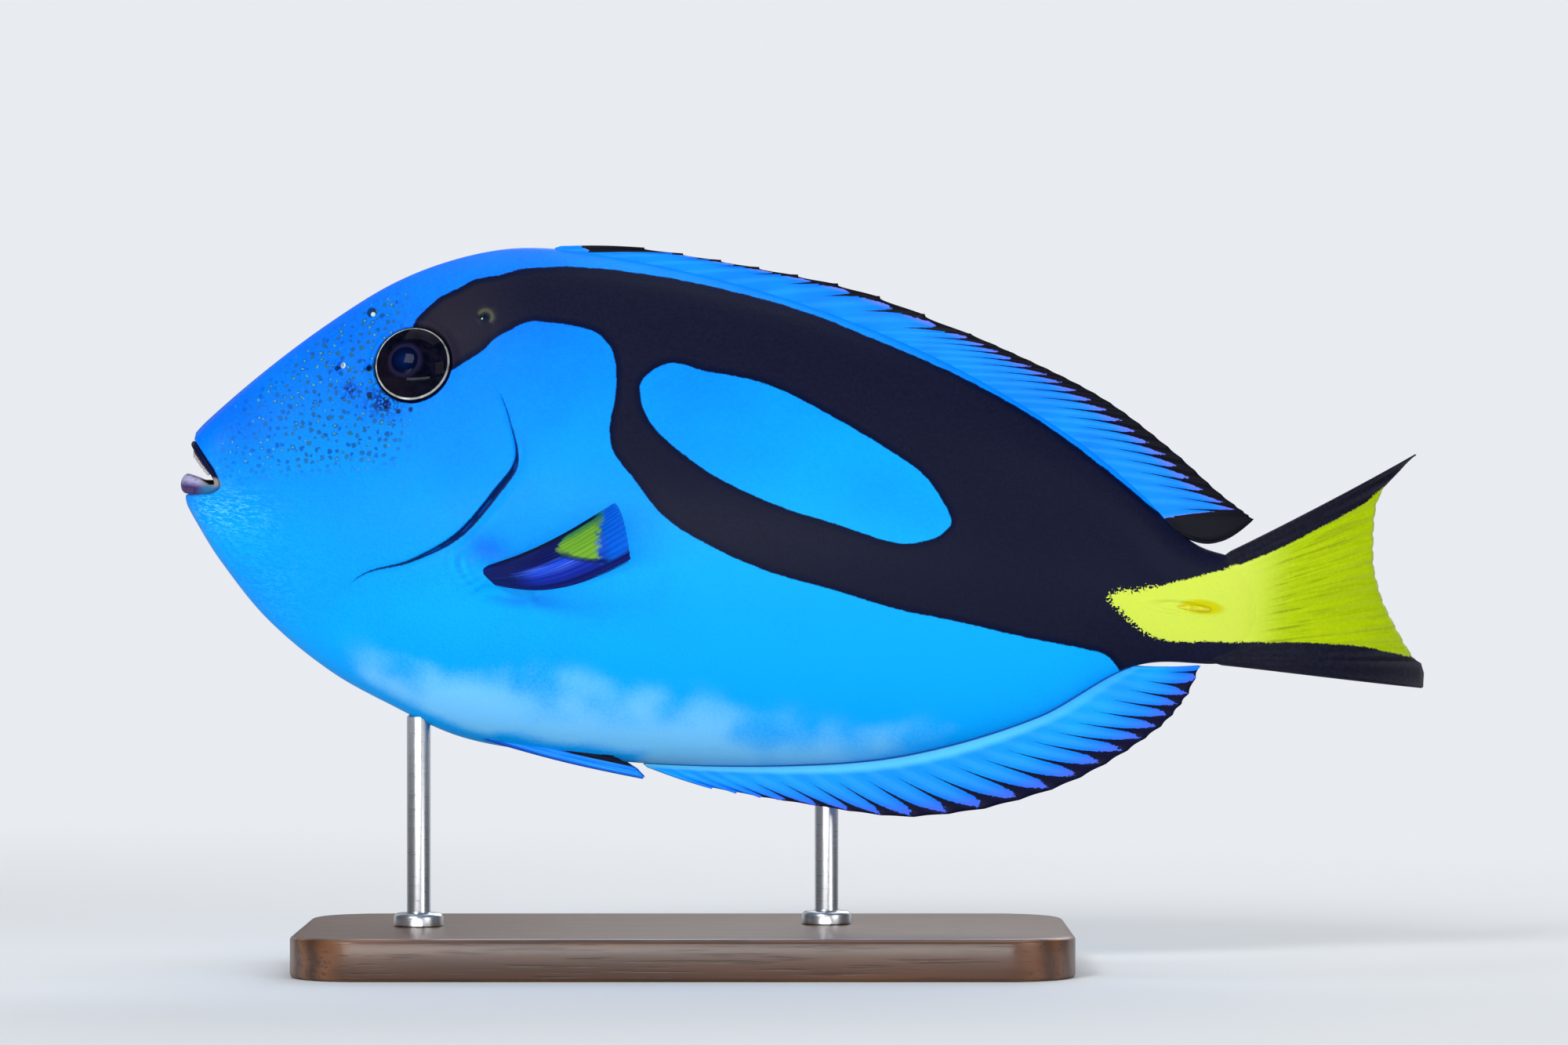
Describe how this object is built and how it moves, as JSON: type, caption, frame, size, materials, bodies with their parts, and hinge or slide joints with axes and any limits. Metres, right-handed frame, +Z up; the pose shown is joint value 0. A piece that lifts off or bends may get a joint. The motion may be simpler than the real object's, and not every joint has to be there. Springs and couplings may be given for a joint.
{
  "type": "regal blue tang",
  "caption": "Swimming regal blue tang with its pectoral fins spread and its tail swung aside, a still life-size model held by two rods on a flat display stand.",
  "frame": {"origin": "centre of the stand base's underside", "axes": "+Z up; the fish faces -X and its left side faces -Y"},
  "size_m": [0.214, 0.0708, 0.1221],
  "materials": {
    "blue_skin": "satin",
    "dark_skin": "satin",
    "lip": "satin",
    "eye": "gloss",
    "blue_fin": "satin",
    "yellow_fin": "satin",
    "dark_fin": "satin",
    "spine": "satin",
    "stand_wood": "satin",
    "stand_metal": "satin"
  },
  "bodies": {
    "root": {"head": "blue_skin", "gill_cover_left": "blue_skin", "gill_cover_right": "blue_skin", "trunk": "blue_skin", "tail_peduncle": "dark_skin", "upper_lip": "lip", "lower_lip": "lip", "eye_left": "eye", "eye_right": "eye", "dorsal_fin": "blue_fin", "anal_fin": "blue_fin", "caudal_fin": "yellow_fin", "pectoral_fin_left": "dark_fin", "pectoral_fin_right": "dark_fin", "pelvic_fin_left": "blue_fin", "pelvic_fin_right": "blue_fin", "tail_spine_left": "spine", "tail_spine_right": "spine", "stand_base": "stand_wood", "stand_rod_front": "stand_metal", "stand_rod_rear": "stand_metal"}
  },
  "joints": []
}
